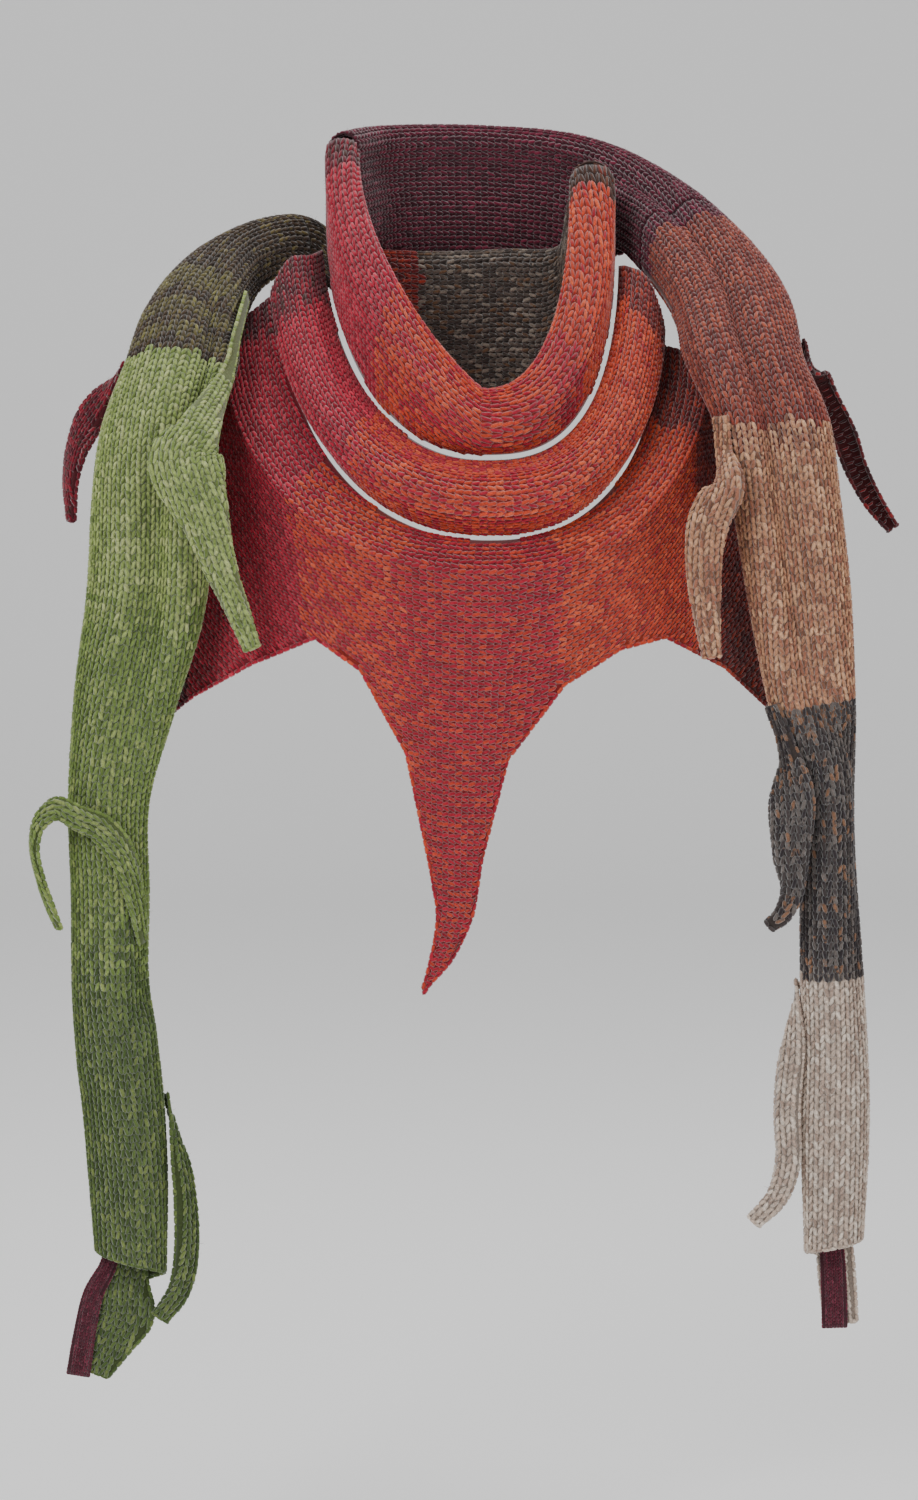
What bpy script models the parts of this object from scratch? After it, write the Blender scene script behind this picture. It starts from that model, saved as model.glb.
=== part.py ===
# Knitted triangle shawl as it is worn: the point hangs in front, the two ends cross behind the
# neck, come forward over the shoulders and hang down. The origin is in the middle of the neck
# opening, where the wearer holds it. The wearer faces -Y, +Z is up, and tables are in millimetres.
import math

import bmesh
import bpy
import numpy as np

millimetre = 0.001
wallThickness = 3.6  # chunky knit, measured through one layer
layingSide = 1
seamGap = 0.3  # space between two pieces that are knitted on to each other

crimson = (0.42, 0.02, 0.05)
orangeRed = (0.46, 0.07, 0.03)
burgundy = (0.13, 0.01, 0.03)
rust = (0.26, 0.07, 0.04)
tan = (0.40, 0.24, 0.15)
charcoal = (0.10, 0.08, 0.07)
beige = (0.50, 0.41, 0.34)
greyBrown = (0.09, 0.07, 0.06)
leafGreen = (0.26, 0.33, 0.11)
mossGreen = (0.17, 0.22, 0.07)


# A stretch of gathered cloth is swept through sections. x, y, z is the crown of a section; yaw and up
# are the way its crown faces, in degrees (yaw 0 is to the front, up 90 is upwards); width is across
# the section, height is from its crown to its open side, close is how far its two edges turn in.
# A crease is a trough at `at` (-1 to 1 across the cloth), `deep` mm deep and `wide` across. slant is
# how many mm further along the +1 edge of the section lies.
sectionColumns = (
    "x", "y", "z", "yaw", "up", "width", "height", "close", "at", "deep", "wide", "slant",
)

# From the left of the collar round the back of the neck, over the right shoulder and down.
rightRibbon = [
    (-78, 28, 75, 0, 90, 20, 50, 0.00, 0.40, 2, 0.20, 0),
    (-54, 70, 80, 0, 90, 22, 76, 0.00, 0.40, 4, 0.20, 0),
    (0, 90, 81, 0, 90, 24, 84, 0.00, 0.40, 4, 0.20, 0),
    (58, 84, 76, 20, 88, 28, 78, 0.00, 0.35, 4, 0.20, 0),
    (97, 60, 61, 50, 88, 44, 52, 0.00, 0.30, 6, 0.16, 0),
    (126, 22, 36, 50, 88, 62, 42, 0.00, 0.20, 8, 0.14, 0),
    (152, -32, -5, 40, 84, 69, 36, 0.05, 0.15, 10, 0.12, 0),
    (166, -82, -50, 28, 38, 68, 38, 0.50, 0.12, 12, 0.12, 0),
    (177, -111, -90, 20, 12, 66, 38, 0.75, 0.10, 13, 0.12, 0),
    (183, -124, -136, 16, 4, 61, 38, 0.80, 0.10, 13, 0.13, 0),
    (189, -130, -193, 12, 0, 57, 37, 0.80, 0.08, 12, 0.14, 0),
    (195, -132, -249, 10, 0, 48, 35, 0.80, 0.00, 8, 0.18, 0),
    (203, -132, -292, 10, 0, 35, 32, 0.75, -0.35, 5, 0.22, 0),
    (205, -132, -340, 10, 0, 32, 30, 0.70, -0.40, 4, 0.22, 0),
    (206, -132, -395, 8, 0, 34, 29, 0.70, -0.30, 3, 0.22, 0),
    (208, -131, -449, 8, 0, 36, 29, 0.70, -0.20, 2, 0.22, 0),
    (208, -130, -500, 6, 0, 37, 28, 0.70, 0.10, 2, 0.22, 2),
    (207, -129, -568, 4, 0, 31, 22, 0.60, 0.10, 0, 0.22, 8),
]

# From the right of the collar, inside the other ribbon, to the left shoulder and down.
leftRibbon = [
    (69, 8, 58, 0, 90, 24, 52, 0.00, 0.00, 0, 0.20, 0),
    (67, 24, 47, 0, 90, 22, 62, 0.00, 0.00, 0, 0.20, 0),
    (54, 42, 10, 0, 90, 22, 90, 0.00, -0.20, 1, 0.20, 0),
    (16, 54, 6, 0, 90, 22, 94, 0.00, -0.35, 3, 0.20, 0),
    (-34, 54, 5, 0, 90, 22, 76, 0.00, -0.20, 1, 0.20, 0),
    (-72, 46, 9, 0, 90, 20, 34, 0.00, 0.00, 0, 0.20, 0),
    (-106, 30, 26, -30, 88, 32, 30, 0.00, 0.00, 0, 0.20, 0),
    (-146, 2, 14, -45, 86, 42, 34, 0.00, 0.00, 0, 0.16, 0),
    (-168, -42, -14, -36, 78, 56, 38, 0.05, -0.30, 6, 0.14, 0),
    (-179, -82, -52, -28, 40, 65, 36, 0.45, -0.42, 11, 0.16, 0),
    (-187, -110, -92, -20, 14, 69, 38, 0.72, -0.35, 12, 0.13, 0),
    (-190, -125, -136, -16, 4, 69, 38, 0.80, -0.12, 12, 0.12, 0),
    (-192, -131, -193, -12, 0, 67, 38, 0.80, -0.10, 12, 0.12, 0),
    (-203, -132, -249, -10, 0, 57, 36, 0.80, -0.14, 8, 0.16, 0),
    (-212, -132, -306, -10, 0, 45, 32, 0.75, -0.30, 5, 0.22, 0),
    (-211, -132, -363, -10, 0, 44, 30, 0.70, -0.45, 4, 0.22, 0),
    (-210, -132, -420, -8, 0, 44, 29, 0.70, -0.45, 4, 0.22, 0),
    (-205, -131, -478, -8, 0, 46, 28, 0.70, 0.30, 2, 0.22, -2),
    (-201, -130, -528, -6, 0, 43, 26, 0.65, 0.20, 2, 0.22, -6),
    (-199, -129, -576, -4, 0, 38, 21, 0.60, 0.00, 0, 0.22, -13),
]
collarRow, shoulderRowRight, shoulderRowLeft = 0, 5, 6

# Lines that the front cloth hangs in, one row each from the neck edge outwards. x, y, z is the lowest
# place of the line in front. riseLeft and riseRight bend its two arms: over 1 is squarer, under 1 straighter.
lineColumns = ("x", "y", "z", "riseLeft", "riseRight")
collarLines = [
    (4, -84, -96, 0.66, 1.15),
    (4, -98, -77, 0.58, 1.15),
    (5, -112, -77, 0.64, 1.20),
    (5, -125, -90, 0.85, 1.30),
    (5, -123, -105, 1.05, 1.35),
    (6, -110, -111, 1.10, 1.35),
]
foldLines = [
    (7, -126, -119, 1.10, 1.28),
    (8, -143, -126, 1.10, 1.22),
    (8, -147, -143, 1.10, 1.15),
    (8, -128, -156, 1.10, 1.15),
]
bibLines = [
    (8, -137, -163, 1.10, 1.10),
    (8, -146, -175, 1.10, 1.05),
]

# Where those lines end at the left and the right shoulder, in the same order.
foldEndsLeft = [(-98, 2, 22), (-110, -6, 20), (-119, -14, 0), (-110, -6, -14)]
foldEndsRight = [(90, -8, 6), (101, -14, -2), (110, -14, -32), (103, -4, -44)]
bibEndsLeft = [(-122, -8, -22), (-146, -20, -42)]
bibEndsRight = [(114, -8, -50), (136, -20, -54)]

# The jagged lower edge in front. share is how far along the bib it lies, from -1 at the left to 1.
hemColumns = ("share", "x", "z")
hemPlaces = [
    (-1.00, -184, -268),
    (-0.90, -162, -250),
    (-0.74, -128, -230),
    (-0.51, -91, -214),
    (-0.36, -65, -232),
    (-0.23, -39, -279),
    (-0.16, -26, -342),
    (-0.10, -17, -394),
    (-0.07, -12, -415),
    (-0.03, -5, -398),
    (0.01, 3, -340),
    (0.09, 18, -282),
    (0.24, 50, -240),
    (0.44, 82, -220),
    (0.62, 108, -214),
    (0.84, 142, -232),
    (1.00, 179, -267),
]
chestHalfWidth, chestDepth = 206, 142  # plan of the general figure that the front hangs round
tipTurnTop, tipTurnBottom, tipTurn = -366, -412, -17  # the front point's end turns to the wearer's right

# Points on the shawl's outer edge: strips that narrow and turn as they hang. The lap rows lie on a
# ribbon, where a point grows out of it: row and across say where.
lapColumns = ("row", "across", "width")
pointColumns = ("x", "y", "z", "yaw", "up", "width", "height")
leftUpperLap = [(7.6, -0.70, 7), (8.4, -0.66, 7), (9.2, -0.62, 8)]
leftUpperPoint = [
    (-155, -134, -93, 5, 30, 22, 5),
    (-163, -148, -108, -5, 20, 38, 8),
    (-160, -153, -124, 0, 0, 38, 8),
    (-152, -154, -146, 0, 0, 26, 6),
    (-144, -152, -172, 0, 0, 17, 5),
    (-134, -148, -198, 0, 0, 12, 4),
    (-126, -145, -219, 0, 0, 8, 3),
]
leftMiddleLap = [
    (15.45, -0.40, 8, 1.0),
    (15.0, -0.30, 12, 1.5),
    (14.6, -0.20, 15, 1.5),
    (14.3, -0.02, 15, 1.5),
]
leftMiddlePoint = [
    (-225, -139, -316, -15, 5, 13, 2),
    (-238, -140, -310, -40, 10, 12, 2),
    (-249, -136, -318, -70, 5, 13, 3),
    (-252, -132, -333, -80, 0, 15, 3),
    (-249, -130, -350, -80, 0, 12, 3),
    (-244, -129, -366, -75, 0, 9, 3),
    (-238, -128, -380, -75, 0, 6, 2),
]
leftLowerLap = [(17.0, -0.70, 5)]
leftLowerPoint = [
    (-168, -120, -512, 60, 0, 12, 3),
    (-164, -120, -538, 50, 0, 15, 4),
    (-164, -119, -566, 30, 0, 14, 4),
    (-169, -118, -590, 20, 0, 12, 3),
    (-181, -118, -607, 10, 0, 9, 2),
]
rightUpperLap = [(7.9, 0.48, 10, 1.5), (8.4, 0.52, 14, 2.5)]
rightUpperPoint = [
    (138, -136, -128, -30, 5, 22, 6),
    (130, -142, -148, -12, 0, 22, 7),
    (128, -145, -172, -5, 0, 18, 6),
    (130, -146, -198, 0, 0, 14, 5),
    (133, -145, -224, 0, 0, 9, 4),
]
rightMiddleLap = [(11.0, 0.44, 10, 1.5), (11.5, 0.42, 14, 3.0)]
rightMiddlePoint = [
    (178, -139, -306, -15, 0, 25, 4),
    (178, -141, -336, -10, 0, 19, 4),
    (179, -141, -356, -10, 0, 12, 3),
    (174, -141, -370, -15, 0, 9, 2),
    (166, -141, -377, -20, 0, 6, 2),
]
rightLowerLap = [(14.3, 0.72, 6)]
rightLowerPoint = [
    (180, -125, -450, -25, 0, 13, 3),
    (177, -125, -484, -20, 0, 14, 4),
    (178, -126, -514, -15, 0, 13, 4),
    (172, -127, -535, -15, 0, 11, 3),
    (159, -128, -549, -15, 0, 8, 3),
]
leftBackLap = [(8.6, 0.70, 14)]
leftBackPoint = [
    (-222, -38, -84, -65, 10, 26, 4),
    (-234, -30, -104, -70, 5, 30, 5),
    (-239, -27, -128, -75, 0, 26, 4),
    (-238, -26, -152, -75, 0, 9, 3),
]
rightBackLap = [(6.6, -0.60, 12)]
rightBackPoint = [
    (197, -22, -66, 155, -10, 18, 3),
    (206, -13, -82, 165, 0, 16, 4),
    (217, -10, -102, 170, 0, 14, 4),
    (225, -9, -123, 170, 0, 12, 4),
    (235, -9, -142, 170, 0, 10, 3),
    (246, -10, -157, 170, 0, 6, 2),
]

# The last flat stretch at the foot of each end, and the fine-knit facing sewn to it.
leftEndFlap = [
    (-200, -111.0, -558, 0, 0, 21, 0.5),
    (-201, -111.0, -576, 0, 0, 22, 0.5),
    (-203, -111.0, -592, 0, 0, 31, 0.5),
    (-204, -111.0, -606, 0, 0, 36, 0.5),
    (-210, -111.0, -622, 0, 0, 25, 0.5),
    (-218, -111.0, -641, 0, 0, 12, 0.5),
]
leftEndFacing = [
    (-209, -114.1, -560, 0, 0, 8, 0.2),
    (-211, -114.1, -576, 0, 0, 9, 0.2),
    (-220, -114.1, -594, 0, 0, 11, 0.2),
    (-225, -114.1, -616, 0, 0, 12, 0.2),
    (-229, -114.1, -641, 0, 0, 13, 0.2),
]
rightEndFlap = [
    (206, -110.9, -550, 0, 0, 18, 0.5),
    (208, -110.9, -580, 0, 0, 20, 0.5),
    (211, -110.9, -611, 0, 0, 18, 0.5),
]
rightEndFacing = [
    (204, -114.2, -552, 0, 0, 12, 0.2),
    (206, -114.2, -582, 0, 0, 14, 0.2),
    (207, -114.2, -613, 0, 0, 14, 0.2),
]
facingThickness = 2.0


def smooth(rows, place):
    """Values between the rows of a table, on a curve through every row. place counts rows from 0."""
    rows = np.asarray(rows, float)
    place = np.clip(np.asarray(place, float), 0, len(rows) - 1)
    first = np.minimum(place.astype(int), len(rows) - 2)
    share = (place - first)[..., None]
    slopes = np.gradient(rows, axis=0)
    low, high = rows[first], rows[first + 1]
    rise = high - low
    return (
        low
        + share * slopes[first]
        + share**2 * (3 * rise - 2 * slopes[first] - slopes[first + 1])
        + share**3 * (slopes[first] + slopes[first + 1] - 2 * rise)
    )


def unit(vectors):
    return vectors / np.maximum(np.linalg.norm(vectors, axis=-1, keepdims=True), 1e-9)


def facing(yaw, up):
    """The direction that a crown faces, from its yaw and up angles in degrees."""
    yaw, up = np.radians(yaw), np.radians(up)
    return np.stack([np.cos(up) * np.sin(yaw), -np.cos(up) * np.cos(yaw), np.sin(up)], axis=-1)


def sectionOutline(across, width, height, close):
    """Sideways and inwards place on a section for across = -1 to 1: round crown, straight leg, turned-in foot."""
    half = width / 2
    crownDepth = min(half, height * 0.55)
    footDepth = (height - crownDepth) * 0.9 * min(1, close * 1.5)
    angles = np.linspace(0, math.pi / 2, 16)
    crown = np.stack([half * np.sin(angles), crownDepth * (1 - np.cos(angles))], axis=1)
    foot = np.stack(
        [
            half - half * close * (1 - np.cos(angles)),
            height - footDepth + footDepth * np.sin(angles),
        ],
        axis=1,
    )
    outline = np.concatenate([crown, foot if footDepth > 0 else [[half, height]]])
    lengths = np.linalg.norm(np.diff(outline, axis=0), axis=1)
    run = np.concatenate([[0], np.cumsum(lengths)]) / lengths.sum()
    sideways = np.interp(abs(across), run, outline[:, 0]) * np.sign(across)
    inwards = np.interp(abs(across), run, outline[:, 1])
    return sideways, inwards


def ribbonSurface(table, first, last, s, t):
    """Points on a swept ribbon between two of its rows. s runs along it and t across it, both 0 to 1."""
    s, t = np.broadcast_arrays(np.asarray(s, float), np.asarray(t, float))
    places = first + (last - first) * s
    rows = smooth(table, places)
    step = 0.02
    along = unit(smooth(table, places + step)[..., :3] - smooth(table, places - step)[..., :3])
    crown = facing(rows[..., 3], rows[..., 4])
    side = unit(np.cross(along, crown))
    across = 2 * t - 1
    sideways, inwards = np.empty(across.shape), np.empty(across.shape)
    for index in np.ndindex(across.shape):
        width, height, close = rows[index][5:8]
        sideways[index], inwards[index] = sectionOutline(across[index], width, height, close)
    at, deep, wide = rows[..., 8], rows[..., 9], rows[..., 10]
    trough = deep * np.exp(-(((across - at) / wide) ** 2))
    # A crease goes straight in on the crown and sideways on a leg.
    lean = np.clip(sideways / np.maximum(rows[..., 5] / 2, 1), -1, 1)
    sideways = sideways - trough * lean**3
    inwards = inwards + trough * np.sqrt(1 - np.clip(lean, -1, 1) ** 6)
    onward = along * (rows[..., 11] * across)[..., None]
    return rows[..., :3] + side * sideways[..., None] - crown * inwards[..., None] + onward


def pointSurface(table, s, t):
    """Points on one of the hanging points: a ribbon with open edges and no crease."""
    rows = [(*row, 0.0, 0.0, 0.0, 1.0, 0.0) for row in table]
    return ribbonSurface(rows, 0, len(rows) - 1, s, t)


def hangingLine(low, end, rise, share):
    """A line that hangs from its lowest place in front up to one end, as share runs from 0 to 1."""
    low, end = np.asarray(low, float), np.asarray(end, float)
    turn = np.asarray(share, float) * math.pi / 2
    x = low[0] + (end[0] - low[0]) * np.sin(turn)
    y = end[1] + (low[1] - end[1]) * np.cos(turn)
    z = low[2] + (end[2] - low[2]) * (1 - np.cos(turn)) ** rise
    return np.stack([x, y, z], axis=-1)


def normals(surface, s, t, step=0.004):
    """Directions square to a surface, from places a little to each side."""
    along = surface(s + step, t) - surface(s - step, t)
    across = surface(s, t + step) - surface(s, t - step)
    return unit(np.cross(along, across))


def hangingLines(lines, endsLeft, endsRight, share):
    """All lines of a table at one share of the way across, -1 at the left to 1 at the right."""
    return [
        np.where(
            (share < 0)[..., None],
            hangingLine(line[:3], left, line[3], np.abs(share)),
            hangingLine(line[:3], right, line[4], np.abs(share)),
        )
        for line, left, right in zip(lines, endsLeft, endsRight)
    ]


def acrossLines(arms, t):
    """Points between lines, on a curve from the first line at t = 0 to the last at t = 1."""
    arms = np.stack(arms)
    places = np.broadcast_to(t, arms.shape[1:-1]).ravel() * (len(arms) - 1)
    flat = arms.reshape(len(arms), -1, 3)
    points = [smooth(flat[:, index], place) for index, place in enumerate(places)]
    return np.array(points).reshape(arms.shape[1:])


def collarEnd(table, fromInside, back=1.5 * seamGap):
    """Places where the collar's lines meet a ribbon's first section, from the neck edge outwards."""
    t = np.linspace(*fromInside, len(collarLines))
    first = ribbonSurface(table, 0, 1, np.zeros(t.shape), t)
    beyond = ribbonSurface(table, 0, 1, np.full(t.shape, 0.01), t)
    return first - unit(beyond - first) * back


def collarSurface(s, t):
    share = 2 * np.asarray(s, float) - 1
    ends = collarEnd(rightRibbon, (1, 0)), collarEnd(leftRibbon, (0, 1))
    return acrossLines(hangingLines(collarLines, *ends, share), t)


def under(surface, s):
    """The line one wall and one seam below the far edge of another cloth."""
    edge = np.ones(np.shape(s))
    return surface(s, edge) - normals(surface, s, edge) * (wallThickness + seamGap) * layingSide


def foldSurface(s, t):
    """The second fold, from a seam under the collar's edge, over its belly to where it is tucked back."""
    share = 2 * np.asarray(s, float) - 1
    lines = hangingLines(foldLines, foldEndsLeft, foldEndsRight, share)
    return acrossLines([under(collarSurface, s)] + lines, t)


def chestY(x):
    """How far forward cloth hangs at x, from the figure's plan."""
    return -chestDepth * (1 - np.minimum(np.abs(x) / chestHalfWidth, 0.99) ** 2.4) ** 0.55


def bibSurface(s, t):
    """The front triangle: from under the fold, over its ridge, then down to the jagged hem."""
    share = 2 * np.asarray(s, float) - 1
    lines = [under(foldSurface, s)] + hangingLines(bibLines, bibEndsLeft, bibEndsRight, share)
    ridgeShare = 0.18
    top = acrossLines(lines, np.minimum(t / ridgeShare, 1))
    hem = np.array(hemPlaces)
    hemX = np.interp(share, hem[:, 0], hem[:, 1])
    hemZ = np.interp(share, hem[:, 0], hem[:, 2])
    hemPoint = np.stack([hemX, chestY(hemX), hemZ], axis=-1)
    down = np.clip((t - ridgeShare) / (1 - ridgeShare), 0, 1)[..., None]
    fallen = lines[-1] + (hemPoint - lines[-1]) * down
    points = np.where((t < ridgeShare)[..., None], top, fallen)
    fall = np.clip((tipTurnTop - points[..., 2]) / (tipTurnTop - tipTurnBottom), 0, 1)
    points[..., 0] += tipTurn * fall**1.5
    return points


def spaced(places, count):
    """count + 1 places from 0 to 1, close together where the hem places are far apart in millimetres."""
    hem = np.array(places)
    steps = np.hypot(np.diff(hem[:, 1]), np.diff(hem[:, 2]))
    run = np.concatenate([[0], np.cumsum(steps)]) / steps.sum()
    return np.interp(np.linspace(0.02, 0.98, count + 1), run, (hem[:, 0] + 1) / 2)


def material(name, colour):
    """Matt wool in one colour."""
    made = bpy.data.materials.new(name)
    made.use_nodes = True
    shader = made.node_tree.nodes["Principled BSDF"]
    shader.inputs["Base Color"].default_value = (*colour, 1)
    shader.inputs["Roughness"].default_value = 0.95
    shader.inputs["Metallic"].default_value = 0
    return made


def cloth(name, surface, along, across, colour, thickness=wallThickness, ends=(None, None)):
    """One piece of cloth: a grid laid on a surface and moved out to both sides. along and across are
    numbers of cells or lists of places. ends gives the directions at a seam, so that two pieces meet."""
    s = np.linspace(0, 1, along + 1) if isinstance(along, int) else np.asarray(along)
    t = np.linspace(0, 1, across + 1) if isinstance(across, int) else np.asarray(across)
    s, t = np.meshgrid(s, t, indexing="ij")
    middle = surface(s, t)
    square = normals(surface, s, t)
    if ends[0] is not None:
        square[0] = ends[0](t[0])
    if ends[1] is not None:
        square[-1] = ends[1](t[-1])
    rows, columns = s.shape
    built = bmesh.new()
    sheets = []
    for side in (0.5, -0.5):
        points = (middle + square * thickness * side) * millimetre
        sheets.append([[built.verts.new(point) for point in line] for line in points])
    for sheet in sheets:
        for i in range(rows - 1):
            for j in range(columns - 1):
                built.faces.new((sheet[i][j], sheet[i + 1][j], sheet[i + 1][j + 1], sheet[i][j + 1]))
    outer, inner = sheets
    for i in range(rows - 1):
        for j in (0, columns - 1):
            built.faces.new((outer[i][j], outer[i + 1][j], inner[i + 1][j], inner[i][j]))
    for j in range(columns - 1):
        for i in (0, rows - 1):
            built.faces.new((outer[i][j], outer[i][j + 1], inner[i][j + 1], inner[i][j]))
    bmesh.ops.recalc_face_normals(built, faces=built.faces)
    for face in built.faces:
        face.smooth = True
    mesh = bpy.data.meshes.new(name)
    built.to_mesh(mesh)
    built.free()
    piece = bpy.data.objects.new(name, mesh)
    bpy.context.scene.collection.objects.link(piece)
    mesh.materials.append(material(name, colour))
    return piece


def ribbonPart(table, first, last):
    """The surface of a stretch of a ribbon between two rows, kept half a seam back at each of them."""
    reach = np.linalg.norm(np.diff(np.array(table)[:, :3], axis=0), axis=1)
    start = first + seamGap / reach[first]
    stop = last - (seamGap / reach[last - 1] if last < len(reach) else 0.06)
    return lambda s, t: ribbonSurface(table, start, stop, s, t)


def lapRow(ribbon, row, across, width, height=0.5):
    """A row of a point that lies on a ribbon's outer face, one wall and one seam above it."""
    here = lambda s, t: ribbonSurface(ribbon, row, row + 1, s, t)
    s, t = np.zeros(1), np.full(1, (across + 1) / 2)
    outwards = -normals(here, s, t)[0]
    x, y, z = here(s, t)[0] + outwards * (wallThickness + seamGap + height / 2)
    yaw = math.degrees(math.atan2(outwards[0], -outwards[1]))
    return (x, y, z, yaw, math.degrees(math.asin(outwards[2])), width, height)


def hangingPoint(name, ribbon, laps, table, along, across, colour):
    rows = [lapRow(ribbon, *lap) for lap in laps] + table
    cloth(name, lambda s, t: pointSurface(rows, s, t), along, across, colour)


def flatEnd(name, table, along, across, colour, thickness=wallThickness):
    cloth(name, lambda s, t: pointSurface(table, s, t), along, across, colour, thickness)


for old in list(bpy.data.objects):
    bpy.data.objects.remove(old, do_unlink=True)

backBand = ribbonPart(rightRibbon, collarRow, shoulderRowRight)
underBand = ribbonPart(leftRibbon, collarRow, shoulderRowLeft)
rightTail = ribbonPart(rightRibbon, shoulderRowRight, len(rightRibbon) - 1)
leftTail = ribbonPart(leftRibbon, shoulderRowLeft, len(leftRibbon) - 1)


def leftSeam(t):
    """Directions that the collar and the back band share where they meet; t runs outwards."""
    start = np.zeros(t.shape)
    return unit(normals(collarSurface, start, t) + normals(backBand, start, 1 - t))


def rightSeam(t):
    start = np.zeros(t.shape)
    return unit(normals(collarSurface, start + 1, t) + normals(underBand, start, t))


bibDown = [0, 0.06, 0.12, 0.18, 0.26, 0.36, 0.48, 0.60, 0.73, 0.86, 1]

cloth("collar", collarSurface, 36, 11, crimson, ends=(leftSeam, rightSeam))
cloth("front_fold", foldSurface, np.linspace(0.04, 0.98, 33), 9, crimson)
cloth("front_bib", bibSurface, spaced(hemPlaces, 46), bibDown, orangeRed)
cloth("back_band", backBand, 16, 14, burgundy, ends=(lambda t: leftSeam(1 - t), None))
cloth("under_band", underBand, 16, 12, greyBrown, ends=(rightSeam, None))
cloth("right_tail", rightTail, 28, 20, rust)
cloth("left_tail", leftTail, 30, 20, leafGreen)
hangingPoint("left_point_upper", leftRibbon, leftUpperLap, leftUpperPoint, 14, 4, leafGreen)
hangingPoint("left_point_middle", leftRibbon, leftMiddleLap, leftMiddlePoint, 12, 4, mossGreen)
hangingPoint("left_point_lower", leftRibbon, leftLowerLap, leftLowerPoint, 9, 3, mossGreen)
hangingPoint("right_point_upper", rightRibbon, rightUpperLap, rightUpperPoint, 10, 4, tan)
hangingPoint("right_point_middle", rightRibbon, rightMiddleLap, rightMiddlePoint, 12, 4, charcoal)
hangingPoint("right_point_lower", rightRibbon, rightLowerLap, rightLowerPoint, 9, 3, beige)
hangingPoint("left_point_back", leftRibbon, leftBackLap, leftBackPoint, 8, 4, crimson)
hangingPoint("right_point_back", rightRibbon, rightBackLap, rightBackPoint, 9, 4, burgundy)
flatEnd("left_end_flap", leftEndFlap, 8, 4, mossGreen)
flatEnd("right_end_flap", rightEndFlap, 4, 3, beige)
flatEnd("left_end_facing", leftEndFacing, 6, 2, burgundy, facingThickness)
flatEnd("right_end_facing", rightEndFacing, 4, 2, burgundy, facingThickness)
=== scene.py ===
# Looks of the knitted triangle shawl: each stretch of cloth is a thin sheet with its stitches laid on
# both faces, in striped and flecked wool. Tables are in millimetres and repeat the forms of the solids.
import math

import bmesh
import bpy
import numpy as np
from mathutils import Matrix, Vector


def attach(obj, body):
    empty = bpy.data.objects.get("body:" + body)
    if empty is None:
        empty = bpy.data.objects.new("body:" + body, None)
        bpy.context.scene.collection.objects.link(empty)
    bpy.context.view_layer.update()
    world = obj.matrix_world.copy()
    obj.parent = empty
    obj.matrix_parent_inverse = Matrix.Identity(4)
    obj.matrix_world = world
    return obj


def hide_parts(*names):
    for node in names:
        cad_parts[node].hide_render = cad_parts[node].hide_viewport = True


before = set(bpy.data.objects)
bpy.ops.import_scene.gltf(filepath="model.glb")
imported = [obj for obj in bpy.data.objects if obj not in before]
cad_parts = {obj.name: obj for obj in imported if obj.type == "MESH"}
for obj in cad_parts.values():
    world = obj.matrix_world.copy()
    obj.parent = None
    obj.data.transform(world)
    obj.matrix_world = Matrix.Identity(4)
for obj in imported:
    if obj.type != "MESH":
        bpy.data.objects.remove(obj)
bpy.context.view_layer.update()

millimetre = 0.001
wall = 3.6  # one layer of the solids
seamGap = 0.3
chance = np.random.default_rng(31)

knit = {
    "waleWidth": 6.0,  # one column of stitches
    "courseHeight": 4.4,  # one row of stitches
    "sheetThickness": 0.8,
    "lobeReach": 3.3,  # half the length of one leg of a stitch
    "lobeInner": 0.62,
    "lobeOuter": 2.35,
    "lobeWidth": 1.39,
    "lobeThickness": 0.94,
    "lobeRise": 0.93,
    "jitter": 0.16,
    "bumpReach": 3.3,  # half the width of one purl bump
    "bumpWidth": 1.05,
    "bumpThickness": 0.8,
    "bumpRise": 0.85,
    "edgeThick": 1.47,
    "edgeLong": 2.9,
    "paintedShadeInSheet": 0.42,  # painted shade: the sheet between the stitches is darkened to this share of the yarn's colour
}

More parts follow.
